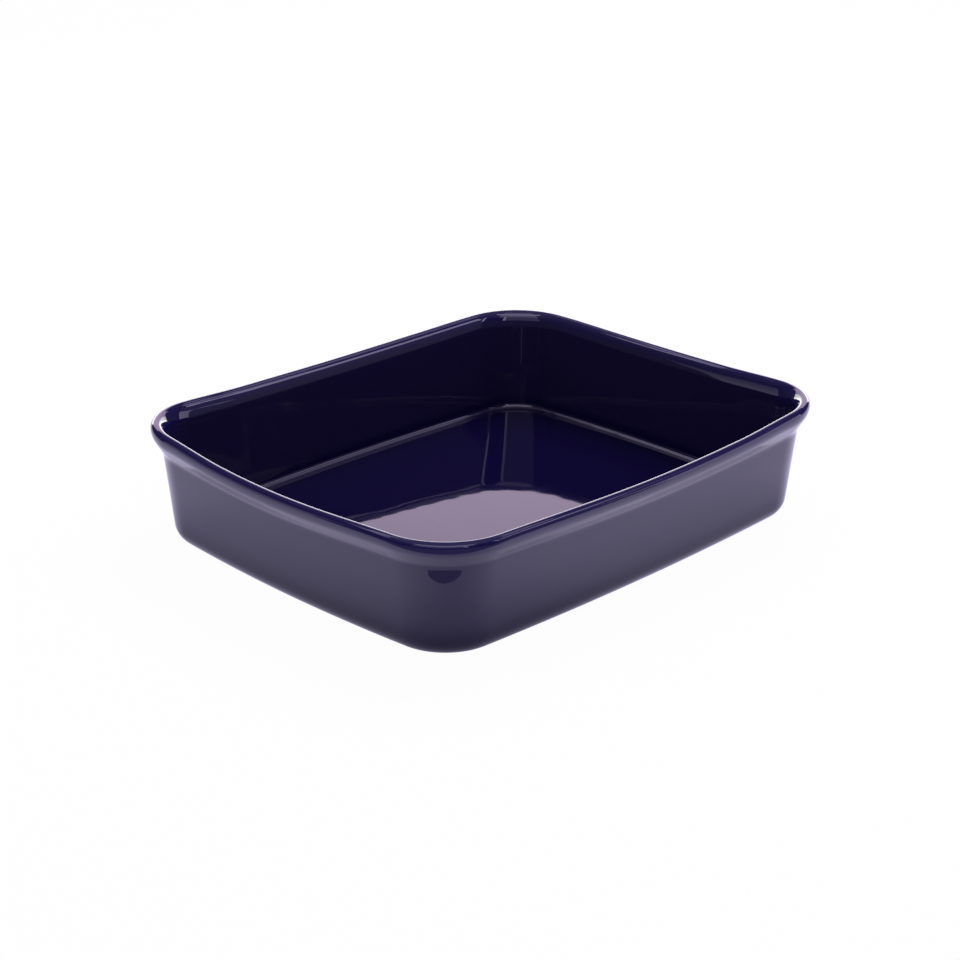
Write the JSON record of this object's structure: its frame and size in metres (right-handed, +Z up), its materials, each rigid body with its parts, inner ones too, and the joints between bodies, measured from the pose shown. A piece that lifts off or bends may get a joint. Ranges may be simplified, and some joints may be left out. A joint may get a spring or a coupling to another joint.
{
  "type": "ceramic gastronorm dish",
  "caption": "Open rectangular glazed ceramic oven dish with round corners, drafted walls, a rounded overhanging rim and a flat floor on a bare foot ring, for baking and serving.",
  "frame": {"origin": "on the table, under the middle of the dish", "axes": "+X along the long side, +Y along the short side, +Z up"},
  "size_m": [0.325, 0.265, 0.0695],
  "materials": {
    "clay": "bare fired clay, matt, fine grained",
    "glaze": "deep cobalt blue gloss glaze"
  },
  "bodies": {
    "root": {"clay_body": "clay", "glaze_coat": "glaze", "base_glaze": "glaze"}
  },
  "joints": []
}
